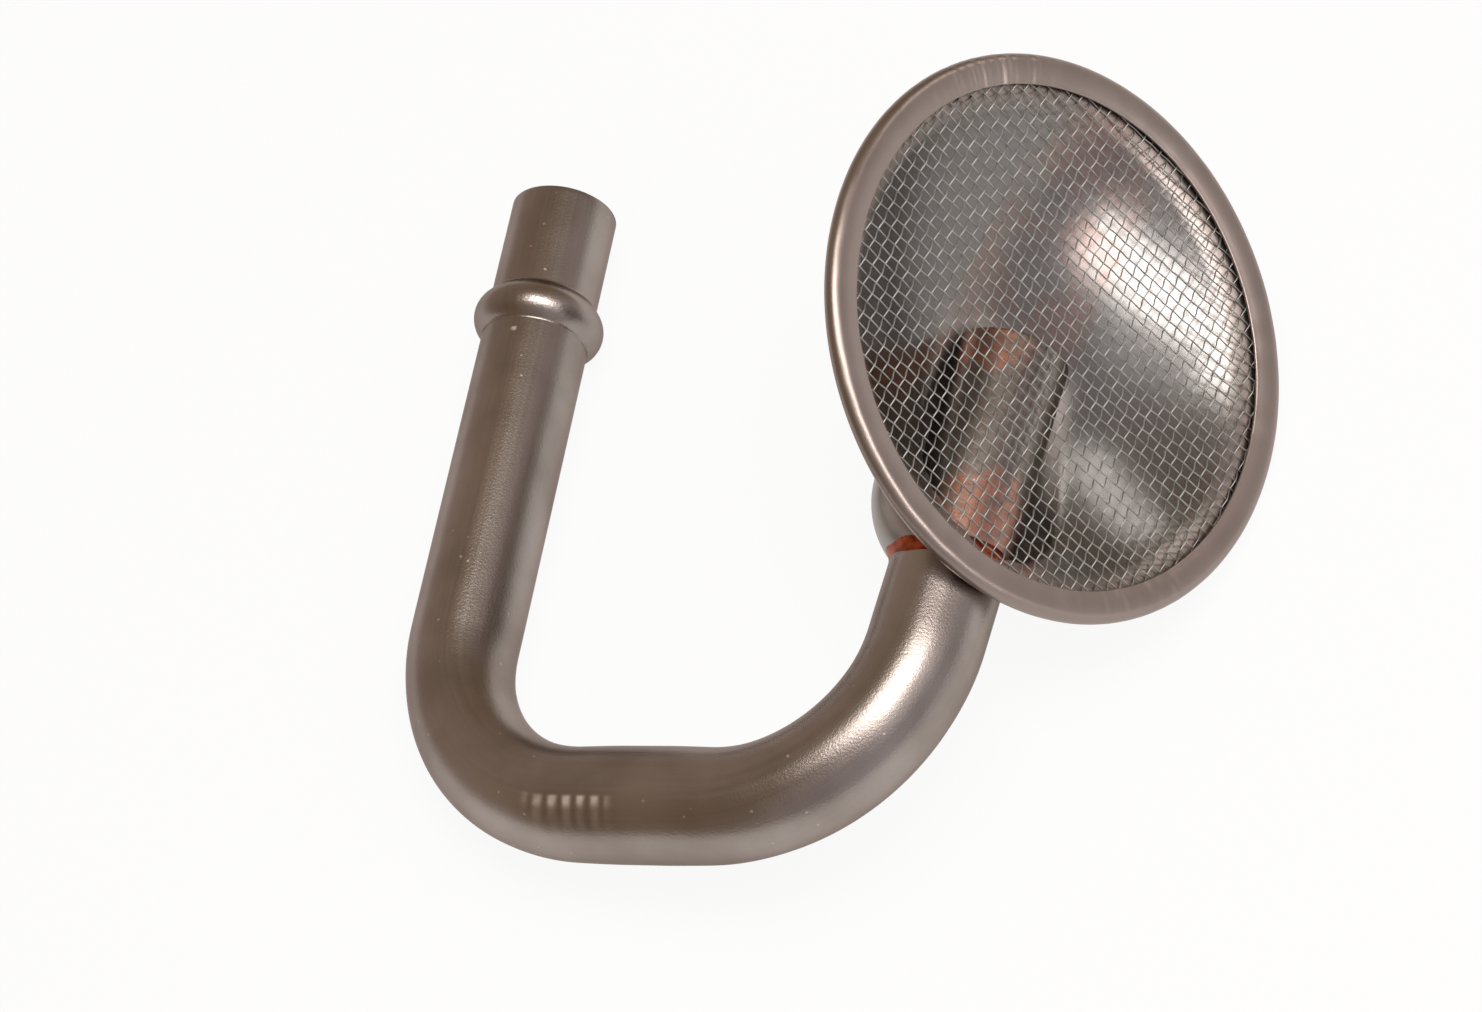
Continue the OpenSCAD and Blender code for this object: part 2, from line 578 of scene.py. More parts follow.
@dataclass(frozen=True)
class PressedSteel:
    """Deep-drawn sheet steel: a shiny bowl, and a rim dulled and browned where the fold was rolled."""

    name: str = "pressed_steel"
    bowl: str = "#8e8b89"
    # Paler colour of the trough beside the tube: painted light against its dark reflections
    socket: str = "#bcb6b2"
    rim: str = "#9f928d"
    shade: str = "#94887f"
    copper: str = "#a8786a"
    bowl_roughness: float = 0.17
    rim_roughness: float = 0.33
    socket_haze: float = 0.3
    cloud_haze: float = 0.08
    cloud_mm: float = 9.0
    patch_range: tuple[float, float] = (0.38, 0.58)
    patch_least: float = 0.15
    grain_mm: float = 0.8
    grain_depth_mm: float = 0.06
    bowl_grain: float = 0.02
    rim_grain: float = 0.13

    def material(self) -> bpy.types.Material:
        """Builds the finish from the cup's own values for rim, copper and socket.

        Returns:
            The material.
        """
        material, shader, place = bare_metal(self.name)
        tree = material.node_tree
        clouds, grain = [
            add_node(
                tree, "ShaderNodeTexNoise", {"Vector": place, "Scale": 1 / (size * MM), "Detail": detail}
            ).outputs[0]
            for size, detail in ((self.cloud_mm, 5.0), (self.grain_mm, 2.0))
        ]
        rim, film, socket = [
            add_node(tree, "ShaderNodeAttribute", attribute_name=name).outputs["Fac"]
            for name in ("rim", "copper", "socket")
        ]
        low, high = self.patch_range
        patches = add_node(
            tree,
            "ShaderNodeMapRange",
            {"Value": clouds, "From Min": low, "From Max": high, "To Min": self.patch_least},
            interpolation_type="SMOOTHSTEP",
        )
        wetted = add_node(tree, "ShaderNodeMath", {0: film, 1: patches.outputs[0]}, operation="MULTIPLY")
        rolled = add_node(
            tree,
            "ShaderNodeMix",
            {0: clouds, COLOUR_A: linear(self.shade), COLOUR_B: linear(self.rim)},
            data_type="RGBA",
        )
        colour = linear(self.bowl)
        # The socket's paler colour is painted light in the trough beside the tube
        for share, tint in (
            (socket, linear(self.socket)),
            (rim, rolled.outputs[MIXED_COLOUR]),
            (wetted.outputs[0], linear(self.copper)),
        ):
            colour = add_node(
                tree, "ShaderNodeMix", {0: share, COLOUR_A: colour, COLOUR_B: tint}, data_type="RGBA"
            ).outputs[MIXED_COLOUR]
        tree.links.new(colour, shader.inputs["Base Color"])
        rough = add_node(
            tree,
            "ShaderNodeMix",
            {0: rim, NUMBER_A: self.bowl_roughness, NUMBER_B: self.rim_roughness},
            data_type="FLOAT",
        ).outputs[0]
        for spot, haze in ((socket, self.socket_haze), (clouds, self.cloud_haze)):
            rough = add_node(
                tree, "ShaderNodeMath", {0: spot, 1: haze, 2: rough}, operation="MULTIPLY_ADD"
            ).outputs[0]
        tree.links.new(rough, shader.inputs["Roughness"])
        relief = add_node(
            tree,
            "ShaderNodeMath",
            {0: rim, 1: self.rim_grain, 2: self.bowl_grain},
            operation="MULTIPLY_ADD",
        )
        bump = add_node(
            tree,
            "ShaderNodeBump",
            {"Strength": relief.outputs[0], "Distance": self.grain_depth_mm * MM, "Height": grain},
        )
        tree.links.new(bump.outputs[0], shader.inputs["Normal"])
        return material


@dataclass(frozen=True)
class MottledMetal:
    """A bare metal with soft mottling: galvanised wire, or copper left as it flowed and froze."""

    name: str
    light: str
    dark: str
    roughness: float
    mottle_mm: float
    mottle_range: tuple[float, float] = (0.35, 0.65)
    mottle_haze: float = 0.12

    def material(self) -> bpy.types.Material:
        """Builds the finish.

        Returns:
            The material.
        """
        material, shader, place = bare_metal(self.name)
        tree = material.node_tree
        mottle = add_node(
            tree, "ShaderNodeTexNoise", {"Vector": place, "Scale": 1 / (self.mottle_mm * MM), "Detail": 3.0}
        ).outputs[0]
        spread = add_node(
            tree,
            "ShaderNodeMapRange",
            {"Value": mottle, "From Min": self.mottle_range[0], "From Max": self.mottle_range[1]},
            interpolation_type="SMOOTHSTEP",
        )
        tone = add_node(
            tree,
            "ShaderNodeMix",
            {0: spread.outputs[0], COLOUR_A: linear(self.dark), COLOUR_B: linear(self.light)},
            data_type="RGBA",
        )
        tree.links.new(tone.outputs[MIXED_COLOUR], shader.inputs["Base Color"])
        rough = add_node(
            tree,
            "ShaderNodeMath",
            {0: mottle, 1: self.mottle_haze, 2: self.roughness - self.mottle_haze / 2},
            operation="MULTIPLY_ADD",
        )
        tree.links.new(rough.outputs[0], shader.inputs["Roughness"])
        return material


# Zinc on drawn wire, pale and slightly frosted
GALVANISED_WIRE = MottledMetal("galvanised_wire", "#c4c5c1", "#a4a5a1", 0.5, 3.0)
# Furnace copper, orange where it ran thin and darker where it stood
BRAZING_COPPER = MottledMetal("brazing_copper", "#b45c3a", "#803820", 0.4, 2.0)


@dataclass(frozen=True)
class CopperSpot:
    """Copper that ran over the tube: its middle and half its sizes, in millimetres and degrees."""

    along: float
    turn: float
    half_length: float
    half_turn: float


@dataclass
class PickupTube:
    """The bent tube with its rolled bead, in millimetres."""

    path: BentPath
    radius: float
    bore: float
    setback: float = 1.0
    bead_at: float = 24.0
    bead_r: float = 4.2
    bead_od: float = 23.4
    crisp_blend: float = 0.25
    soft_blend: float = 1.4
    lip: float = 0.35
    lip_points: int = 5
    points: int = 128
    step: float = 1.0
    bead_step: float = 0.2
    bore_step: float = 3.0
    # How far the rings of the bore stop short of the press-in end and of the inner end
    bore_clear: tuple[float, float] = (1.5, 2.0)
    bend_squeeze: float = 0.035
    bend_lead: float = 2.0
    bend_run: float = 12.0
    cross_swell: float = 0.02
    cross_run: float = 8.0
    seam_deg: float = 250.0
    copper_spots: tuple[CopperSpot, ...] = (
        CopperSpot(258.5, 95.0, 5.5, 42.0),
        CopperSpot(229.5, 140.0, 7.5, 62.0),
    )
    copper_edge: tuple[float, float] = (0.7, 1.15)
    copper_waves: RingWaves = RingWaves(5, 3, 17, 6)
    copper_ragged: float = 0.15

    def outer_radius(self, along: float) -> float:
        """Outside radius with the bead rolled in.

        Args:
            along: distance from the press-in end.

        Returns:
            The radius.
        """
        from_bead = along - self.bead_at
        if abs(from_bead) > self.bead_r + self.soft_blend:
            return self.radius
        rise = math.sqrt(max(self.bead_r**2 - from_bead**2, 0.0))
        bulge = self.bead_od / 2 - self.bead_r + rise
        blend = self.crisp_blend if from_bead > 0 else self.soft_blend
        return float(soft_max(np.array(bulge), np.array(self.radius), blend))

    def squeeze(self, along: float) -> float:
        """How much the section is drawn in across the bend.

        Args:
            along: distance from the press-in end.

        Returns:
            The share by which the section is narrower in the plane of the bends.
        """
        here, lead = np.array(along), self.bend_lead
        total = 0.0
        for start, end in self.path.bends:
            into = smooth_step(start - lead, start + self.bend_run, here)
            out = smooth_step(end - self.bend_run, end + lead, here)
            total += self.bend_squeeze * float(into - out)
        (_, first_end), (second, _) = self.path.bends
        into = smooth_step(first_end - lead, first_end + self.cross_run, here)
        out = smooth_step(second - self.cross_run, second + lead, here)
        return total - self.cross_swell * float(into - out)

    def section(self) -> list[tuple[float, float]]:
        """Places along the tube and radii, once along the outside and back along the bore."""
        end = self.path.length - self.setback
        reach = self.bead_r + self.soft_blend
        near = np.arange(self.bead_at - reach, self.bead_at + reach, self.bead_step)
        far = np.arange(self.lip, end - self.lip, self.step)
        far = far[np.abs(far - self.bead_at) > reach]
        stations = np.sort(np.concatenate([near, far]))
        outside = [(float(s), self.outer_radius(float(s))) for s in stations]
        lip, outer, inner = self.lip, self.radius - self.lip, self.bore + self.lip
        corner = [(lip * x, lip * y) for x, y in unit_arc(np.linspace(0.0, 90.0, self.lip_points))]
        far_lip = [(end - lip + y, outer + x) for x, y in corner]
        far_bore = [(end - lip + y, inner - x) for x, y in reversed(corner)]
        bore_from, bore_to = end - self.bore_clear[1], self.bore_clear[0]
        inside = [(float(s), self.bore) for s in np.arange(bore_from, bore_to, -self.bore_step)]
        near_bore = [(lip - y, inner - x) for x, y in corner]
        near_lip = [(lip - y, outer + x) for x, y in reversed(corner)]
        return outside[1:] + far_lip + far_bore + inside + near_bore + near_lip

    def build(self, material: bpy.types.Material) -> bpy.types.Object:
        """Sweeps the section along the bent line and dresses it.

        Args:
            material: finish of the tube.

        Returns:
            The tube.
        """
        section = self.section()
        start = math.radians(self.seam_deg) - 2 * math.pi
        angles = start + np.arange(self.points + 1) * 2 * math.pi / self.points
        sweep = angles[:-1]
        rows = np.zeros((len(section), self.points, 3))
        uv = np.zeros((len(section), self.points + 1, 2))
        for i, (along, radius) in enumerate(section):
            point, axes = self.path.at(along)
            narrow = radius * (1.0 - self.squeeze(along))
            rows[i] = point + np.outer(np.cos(sweep) * narrow, axes[:, 0])
            rows[i] += np.outer(np.sin(sweep) * radius, axes[:, 2])
            uv[i, :, 0] = angles * self.radius * MM
            uv[i, :, 1] = along * MM
        tube = grid_object("pickup_tube_drawn", rows, True, uv)
        point_values(tube, "copper", self.copper(section, sweep))
        hand_over(tube, Piece.TUBE, material)
        return tube

    def copper(self, section: list[tuple[float, float]], angles: np.ndarray) -> np.ndarray:
        """Where copper has run over the tube inside the strainer.

        Args:
            section: places along the tube and radii.
            angles: places around the tube, in radians.

        Returns:
            A value from 0 to 1 for each point, ring by ring.
        """
        along = np.array([s for s, _ in section])[:, None]
        degrees = np.degrees(angles)[None, :]
        ragged = self.copper_ragged * self.copper_waves.heights(angles)[None, :]
        total = np.zeros((len(section), len(angles)))
        for spot in self.copper_spots:
            lengthwise = (along - spot.along) / spot.half_length
            crosswise = turned_by(degrees, spot.turn) / spot.half_turn
            distance = np.sqrt(lengthwise**2 + crosswise**2)
            total = np.maximum(total, 1.0 - smooth_step(*self.copper_edge, distance + ragged))
        return total.reshape(-1)


@dataclass
class StrainerPlace:
    """The strainer's own frame: origin in the middle of the screen, Z out through it, tube from +Y."""

    path: BentPath
    turn_deg: float = 26.0
    offset: float = 11.8

    def matrix(self) -> np.ndarray:
        """A 4 by 4 matrix from the strainer's frame to the part's frame, in millimetres."""
        point, axes = self.path.at(self.path.length)
        turned = axes @ np.array(Matrix.Rotation(math.radians(self.turn_deg - 90.0), 3, "Y"))
        placed = np.eye(4)
        placed[:3, :3] = turned
        placed[:3, 3] = point + turned[:, 2] * self.offset
        return placed

    def put(self, points: np.ndarray) -> np.ndarray:
        """Moves points from the strainer's frame to the part's frame.

        Args:
            points: points whose last axis holds x, y and z in millimetres.

        Returns:
            The moved points.
        """
        placed = self.matrix()
        return points @ placed[:3, :3].T + placed[:3, 3]


@dataclass
class StrainerCup:
    """The pressed dish with its socket, and its edge folded over the screen, in millimetres and degrees."""

    place: StrainerPlace
    rim_od: float = 95.2
    mouth_d: float = 84.4
    sheet: float = 1.2
    depth: float = 16.0
    screen_t: float = 0.9
    socket_r: float = 15.8
    socket_start: float = 9.0
    socket_start_r: float = 12.6
    socket_reach: float = 29.0
    blend: float = 4.0
    blend_until: float = 0.8
    hole_r: float = 9.7
    hole_span: tuple[float, float] = (20.0, 60.0)
    hole_sides: int = 96
    columns: int = 640
    bowl_rows: int = 50
    pole_share: float = 0.03
    # A place inside the wall from which all of it can be seen
    heart: tuple[float, float, float] = (0.0, 10.0, -9.0)
    halvings: int = 44
    # Rows of the rim's back, roll, front, lip, slot, inner round and back of the slot
    rim_rows: tuple[int, ...] = (5, 17, 9, 8, 4, 6, 4)
    roll_turn: float = 80.0
    roll_lift: tuple[float, float] = (-60.0, 70.0)
    lip_turn: float = 70.0
    back_gap: float = 0.9
    slot_gap: float = 0.4
    wall_gap: float = 0.2
    edge_dip: float = 0.6
    ripple: float = 0.03
    ripple_waves: RingWaves = RingWaves(11, 9, 60, 14)
    crimp: float = 0.13
    crimp_waves: RingWaves = RingWaves(23, 70, 160, 12)
    # Middle and half width of each wrinkled stretch
    crimp_zones: tuple[tuple[float, float], ...] = ((-49.0, 17.0), (129.0, 14.0))
    most_rise: float = 0.08
    wrinkle_pull: float = 0.5
    back_dull: float = 0.6
    dull_edge: tuple[float, float] = (37.0, 42.0)
    # Where the painted light in the trough beside the tube fades out, across it and along it
    painted_light_edge: tuple[float, float] = (13.0, 16.5)
    painted_light_start: tuple[float, float] = (-6.0, 4.0)
    copper_edge: tuple[float, float] = (11.5, 14.6)
    copper_start: tuple[float, float] = (30.0, 36.0)
    copper_least: float = 0.3
    copper_waves: RingWaves = RingWaves(3, 2, 13, 6)
    copper_ragged: float = 0.8

    @property
    def fold_in(self) -> float:
        """Inside radius of the fold."""
        return self.screen_t / 2

    @property
    def fold_out(self) -> float:
        """Outside radius of the fold."""
        return self.fold_in + self.sheet

    @property
    def fold_centre(self) -> float:
        """Distance from the strainer's axis to the centre of the fold."""
        return self.rim_od / 2 - self.fold_out

    @property
    def bowl_sphere(self) -> tuple[float, float]:
        """Radius of the bowl's sphere and the height of its centre."""
        edge = self.mouth_d / 2 + self.sheet
        rise = self.depth - self.fold_in
        radius = (edge**2 + rise**2) / (2 * rise)
        return radius, radius - self.depth

    def wall_field(self, points: np.ndarray, blend: np.ndarray) -> np.ndarray:
        """Signed distance to the outside of the wall, with the socket blended into the bowl.

        Args:
            points: points in the strainer's frame.
            blend: width of the blend at each point.

        Returns:
            Negative values inside.
        """
        radius, height = self.bowl_sphere
        bowl = np.linalg.norm(points - np.array([0.0, 0.0, height]), axis=-1) - radius
        nearest = np.clip(points[..., 1], self.socket_start, self.socket_reach)
        axis = np.stack([np.zeros_like(nearest), nearest, np.full_like(nearest, -self.place.offset)], -1)
        run = (nearest - self.socket_start) / (self.socket_reach - self.socket_start)
        widening = (self.socket_r - self.socket_start_r) * run
        socket = np.linalg.norm(points - axis, axis=-1) - self.socket_start_r - widening
        return -soft_max(-bowl, -socket, blend)

    def wall_rows(self, inset: float, top: float) -> np.ndarray:
        """Rings of the wall from its lowest point up to a flat edge.

        Args:
            inset: how far the surface lies inside the outer one.
            top: height of the edge.

        Returns:
            Points shaped (rows, columns, 3).
        """
        heart = np.array(self.heart)
        radius, height = self.bowl_sphere
        edge_r = math.sqrt((radius - inset) ** 2 - (height - top) ** 2)
        turns = turns_of(self.columns)
        edge = np.stack([edge_r * np.cos(turns), edge_r * np.sin(turns), np.full_like(turns, top)], -1)
        edge -= heart
        reach = np.linalg.norm(edge, axis=-1)
        edge_way = edge / reach[:, None]
        down = np.array([0.0, 0.0, -1.0])
        span = np.arccos(np.clip(edge_way @ down, -1.0, 1.0))
        share = np.linspace(self.pole_share, 1.0, self.bowl_rows)[:, None]
        way = np.sin((1 - share) * span)[..., None] * down + np.sin(share * span)[..., None] * edge_way
        way /= np.linalg.norm(way, axis=-1, keepdims=True)
        blend = self.blend * (1.0 - smooth_step(self.blend_until, 1.0, share))
        blend = np.broadcast_to(blend, way.shape[:2])
        near, far = np.zeros(way.shape[:2]), np.full(way.shape[:2], 2.0 * self.rim_od)
        for _ in range(self.halvings):
            middle = (near + far) / 2
            inside = self.wall_field(heart + way * middle[..., None], blend) + inset < 0
            near, far = np.where(inside, middle, near), np.where(inside, far, middle)
        far[-1] = reach
        return heart + way * far[..., None]

    def fold_rows(self) -> np.ndarray:
        """Rings of the folded rim, from the back sheet over the roll and into the slot.

        Returns:
            Points shaped (rows, columns, 3).
        """
        centre, out, inner = self.fold_centre, self.fold_out, self.fold_in
        edge = self.mouth_d / 2 + self.sheet / 2
        lip = (out - self.edge_dip - inner) / 2
        front = self.mouth_d / 2 + lip
        back, roll, face, nose, slot, bottom, behind = self.rim_rows
        roll_at = np.linspace(-self.roll_turn, self.roll_turn, roll)
        nose_at = np.linspace(180.0 - self.lip_turn, 180.0 + self.lip_turn, nose)
        bottom_at = np.linspace(self.lip_turn, -self.lip_turn, bottom)
        # Each point of the section has its radius, its height and its share of the wrinkles
        section = [(r, -out, 0.0) for r in np.linspace(edge + self.back_gap, centre, back)]
        for (x, y), lift in zip(unit_arc(roll_at), smooth_step(*self.roll_lift, roll_at)):
            section.append((centre + out * x, out * y, lift))
        for r in np.linspace(centre, front, face):
            dip = self.edge_dip * ((centre - r) / (centre - front)) ** 2
            section.append((r, out - dip, 1.0))
        section += [(front + lip * x, inner + lip + lip * y, 1.0) for x, y in unit_arc(nose_at)]
        section += [(r, inner, 0.0) for r in np.linspace(front + self.slot_gap, centre, slot)]
        section += [(centre + inner * x, inner * y, 0.0) for x, y in unit_arc(bottom_at)]
        section += [(r, -inner, 0.0) for r in np.linspace(centre, edge + self.wall_gap, behind)]
        turns = turns_of(self.columns)
        height = self.wrinkles(turns)
        rows = []
        for r, z, share in section:
            ring = r - self.wrinkle_pull * share * height
            rows.append(np.stack([ring * np.cos(turns), ring * np.sin(turns), z + share * height], -1))
        return np.stack(rows)

    def wrinkles(self, turns: np.ndarray) -> np.ndarray:
        """Height of the crimp wrinkles round the rim.

        Args:
            turns: places round the rim, in radians.

        Returns:
            Heights in millimetres, mostly below the smooth rim.
        """
        height = self.ripple * self.ripple_waves.heights(turns)
        pleats = self.crimp_waves.heights(turns)
        for middle, half in self.crimp_zones:
            zone = np.exp(-((turned_by(np.degrees(turns), middle) / half) ** 2))
            height = height + self.crimp / 2 * zone * (pleats - 1.0)
        return np.minimum(height, self.most_rise)

    def build(self, material: bpy.types.Material) -> bpy.types.Object:
        """Joins wall and rim into one closed sheet, cuts the hole for the tube and dresses it.

        Args:
            material: finish of the cup.

        Returns:
            The cup.
        """
        outside = self.wall_rows(0.0, -self.fold_out)
        rim = self.fold_rows()
        inside = self.wall_rows(self.sheet, -self.fold_in)[::-1]
        rows = np.concatenate([outside, rim, inside])
        cup = grid_object("strainer_cup_pressed", self.place.put(rows), False)
        outside_dull = np.full(outside.shape[:2], self.back_dull)
        inside_dull = smooth_step(*self.dull_edge, np.hypot(inside[..., 0], inside[..., 1]))
        dull = np.concatenate([outside_dull, np.ones(rim.shape[:2]), inside_dull])
        point_values(cup, "rim", dull.reshape(-1))
        plain = np.zeros((len(outside) + len(rim)) * self.columns)
        point_values(cup, "copper", np.concatenate([plain, self.copper(inside)]))
        # The socket values mark the painted light in the trough beside the tube
        point_values(cup, "socket", np.concatenate([plain, self.painted_socket_light(inside)]))
        self.cut_hole(cup)
        hand_over(cup, Piece.CUP, material)
        return cup

    def painted_socket_light(self, rows: np.ndarray) -> np.ndarray:
        """Where the wall is drawn down beside the tube, with its colour lightened there as painted light
        against the trough's dark reflections.

        Args:
            rows: points of the inside in the strainer's frame.

        Returns:
            A value from 0 to 1 for each point.
        """
        from_axis = np.hypot(rows[..., 0], rows[..., 2] + self.place.offset)
        beside = 1.0 - smooth_step(*self.painted_light_edge, from_axis)
        return (beside * smooth_step(*self.painted_light_start, rows[..., 1])).reshape(-1)

    def copper(self, rows: np.ndarray) -> np.ndarray:
        """Where copper has wetted the inside of the wall round the tube.

        Args:
            rows: points of the inside in the strainer's frame.

        Returns:
            A value from 0 to 1 for each point.
        """
        above = rows[..., 2] + self.place.offset
        from_axis = np.hypot(rows[..., 0], above)
        ragged = self.copper_ragged * self.copper_waves.heights(np.arctan2(rows[..., 0], above))
        near = 1.0 - smooth_step(*self.copper_edge, from_axis + ragged)
        along = smooth_step(*self.copper_start, rows[..., 1])
        return (near * (self.copper_least + (1.0 - self.copper_least) * along)).reshape(-1)

    def cut_hole(self, cup: bpy.types.Object) -> None:
        """Opens the wall where the tube goes through.

        Args:
            cup: the closed sheet.
        """
        turns = turns_of(self.hole_sides)
        across = self.hole_r * np.cos(turns)
        up = self.hole_r * np.sin(turns) - self.place.offset
        ends = [np.stack([across, np.full_like(turns, y), up], -1) for y in self.hole_span]
        cutter = grid_object("hole_cutter", self.place.put(np.stack(ends)), False)
        modifier = cup.modifiers.new("hole", "BOOLEAN")
        modifier.object = cutter
        modifier.operation = "DIFFERENCE"
        modifier.solver = "EXACT"
        plain = plain_mesh(cup)
        cup.modifiers.remove(modifier)
        cup.data = plain
        bpy.data.objects.remove(cutter)


@dataclass
class WovenScreen:
    """The round of plain-woven wire, in millimetres."""

    place: StrainerPlace
    pitch: float = 2.0
    wire_r: float = 0.135
    radius: float = 44.5
    weave_turn: float = 81.0
    mouth_r: float = 42.0
    sag: float = 1.7
    wander: float = 0.2
    wander_mm: float = 14.0
    steps_per_pitch: float = 4.5
    sides: int = 6

    def input_values(self) -> dict[str, float]:
        """Names and values of the tree's inputs, with lengths in metres."""
        each_side = int(self.radius / self.pitch)
        return {
            "Pitch": self.pitch * MM,
            "Wire Radius": self.wire_r * MM,
            "Screen Radius": self.radius * MM,
            "Mouth Radius": self.mouth_r * MM,
            "Sag": self.sag * MM,
            "Wander": 2 * self.wander * MM,
            "Step": self.pitch / self.steps_per_pitch * MM,
            "First Wire": -each_side * self.pitch * MM,
            "Wires": 2 * each_side + 1,
        }

    def tree(self, material: bpy.types.Material) -> bpy.types.NodeTree:
        """Builds the node tree that weaves both sets of wires.

        Args:
            material: finish of the wires.

        Returns:
            The tree.
        """
        tree = bpy.data.node_groups.new("woven_wires", "GeometryNodeTree")
        tree.interface.new_socket("Geometry", in_out="INPUT", socket_type="NodeSocketGeometry")
        tree.interface.new_socket("Geometry", in_out="OUTPUT", socket_type="NodeSocketGeometry")
        for name, value in self.input_values().items():
            kind = "NodeSocketInt" if isinstance(value, int) else "NodeSocketFloat"
            tree.interface.new_socket(name, in_out="INPUT", socket_type=kind)
        sizes = tree.nodes.new("NodeGroupInput")
        both = tree.nodes.new("GeometryNodeJoinGeometry")
        for wires in WireSet:
            tree.links.new(self.wire_set(tree, sizes, wires), both.inputs[0])
        smooth = add_node(tree, "GeometryNodeSetShadeSmooth", {"Geometry": both.outputs[0]})
        real = add_node(tree, "GeometryNodeRealizeInstances", {"Geometry": smooth.outputs[0]})
        dressed = add_node(
            tree, "GeometryNodeSetMaterial", {"Geometry": real.outputs[0], "Material": material}
        )
        add_node(tree, "NodeGroupOutput", {0: dressed.outputs[0]})
        return tree

    def wire_set(
        self, tree: bpy.types.NodeTree, sizes: bpy.types.Node, wires: WireSet
    ) -> bpy.types.NodeSocket:
        """Adds one set of parallel wires that pass over and under the other set.

        Args:
            tree: the tree that gets the nodes.
            sizes: the group input.
            wires: which set.

        Returns:
            The socket with the wires' mesh.
        """
        turn, crimp = wires.value
        size = sizes.outputs
        first_at = add_node(tree, "ShaderNodeCombineXYZ", {"Y": size["First Wire"]})
        next_at = add_node(tree, "ShaderNodeCombineXYZ", {"Y": size["Pitch"]})
        starts = add_node(
            tree,
            "GeometryNodeMeshLine",
            {"Count": size["Wires"], "Start Location": first_at.outputs[0], "Offset": next_at.outputs[0]},
            mode="OFFSET",
        )
        ends = []
        for way in (-1.0, 1.0):
            reach = add_node(
                tree, "ShaderNodeMath", {0: size["Screen Radius"], 1: way}, operation="MULTIPLY"
            )
            ends.append(add_node(tree, "ShaderNodeCombineXYZ", {"X": reach.outputs[0]}).outputs[0])
        line = add_node(tree, "GeometryNodeCurvePrimitiveLine", {"Start": ends[0], "End": ends[1]})
        fine = add_node(
            tree,
            "GeometryNodeResampleCurve",
            {"Curve": line.outputs[0], "Length": size["Step"]},
            mode="LENGTH",
        )
        laid = add_node(
            tree, "GeometryNodeInstanceOnPoints", {"Points": starts.outputs[0], "Instance": fine.outputs[0]}
        )
        real = add_node(tree, "GeometryNodeRealizeInstances", {"Geometry": laid.outputs[0]})
        spot = tree.nodes.new("GeometryNodeInputPosition")
        split = add_node(tree, "ShaderNodeSeparateXYZ", {0: spot.outputs[0]})
        out = add_node(tree, "ShaderNodeVectorMath", {0: spot.outputs[0]}, operation="LENGTH")
        outside = add_node(
            tree,
            "FunctionNodeCompare",
            {0: out.outputs["Value"], 1: size["Screen Radius"]},
            data_type="FLOAT",
            operation="GREATER_THAN",
        )
        cut = add_node(
            tree,
            "GeometryNodeDeleteGeometry",
            {"Geometry": real.outputs[0], "Selection": outside.outputs[0]},
            domain="POINT",
        )
        drift = add_node(
            tree,
            "ShaderNodeTexNoise",
            {"Vector": spot.outputs[0], "W": turn, "Scale": 1 / (self.wander_mm * MM), "Detail": 1.0},
            noise_dimensions="4D",
        )
        free = out.outputs["Value"]
        for operation, value in (
            ("DIVIDE", size["Mouth Radius"]),
            ("POWER", 2.0),
            ("MULTIPLY", -1.0),
            ("ADD", 1.0),
            ("MAXIMUM", 0.0),
        ):
            node = add_node(tree, "ShaderNodeMath", {0: free, 1: value}, operation=operation)
            free = node.outputs[0]
        weave = split.outputs["X"]
        for operation, value in (
            ("ADD", split.outputs["Y"]),
            ("DIVIDE", size["Pitch"]),
            ("MULTIPLY", math.pi),
            ("COSINE", 0.0),
            ("MULTIPLY", crimp * MM),
        ):
            node = add_node(tree, "ShaderNodeMath", {0: weave, 1: value}, operation=operation)
            weave = node.outputs[0]
        sink = add_node(tree, "ShaderNodeMath", {0: free, 1: size["Sag"]}, operation="MULTIPLY")
        rise = add_node(tree, "ShaderNodeMath", {0: weave, 1: sink.outputs[0]}, operation="SUBTRACT")
        aside = drift.outputs[0]
        for operation, value in (("SUBTRACT", 0.5), ("MULTIPLY", size["Wander"]), ("MULTIPLY", free)):
            node = add_node(tree, "ShaderNodeMath", {0: aside, 1: value}, operation=operation)
            aside = node.outputs[0]
        shift = add_node(tree, "ShaderNodeCombineXYZ", {"Y": aside, "Z": rise.outputs[0]})
        woven = add_node(
            tree, "GeometryNodeSetPosition", {"Geometry": cut.outputs[0], "Offset": shift.outputs[0]}
        )
        ring = add_node(
            tree,
            "GeometryNodeCurvePrimitiveCircle",
            {"Resolution": self.sides, "Radius": size["Wire Radius"]},
        )
        thick = add_node(
            tree,
            "GeometryNodeCurveToMesh",
            {"Curve": woven.outputs[0], "Profile Curve": ring.outputs[0], "Fill Caps": True},
        )
        turned = add_node(
            tree,
            "GeometryNodeTransform",
            {"Geometry": thick.outputs[0], "Rotation": (0.0, 0.0, math.radians(self.weave_turn + turn))},
        )
        return turned.outputs[0]

    def build(self, material: bpy.types.Material) -> bpy.types.Object:
        """Weaves the wires, turns them into a plain mesh and puts it in the rim.

        Args:
            material: finish of the wires.

        Returns:
            The screen.
        """
        screen = bpy.data.objects.new("screen_woven", bpy.data.meshes.new("screen_woven"))
        bpy.context.scene.collection.objects.link(screen)
        modifier = screen.modifiers.new("weave", "NODES")
        tree = self.tree(material)
        values = self.input_values()
        modifier.node_group = tree
        for item in tree.interface.items_tree:
            if item.in_out == "INPUT" and item.name in values:
                modifier[item.identifier] = values[item.name]
        plain = plain_mesh(screen)
        screen.modifiers.remove(modifier)
        placed = Matrix(self.place.matrix().tolist())
        placed.translation = placed.translation * MM
        plain.transform(placed)
        screen.data = plain
        hand_over(screen, Piece.SCREEN, material)
        return screen


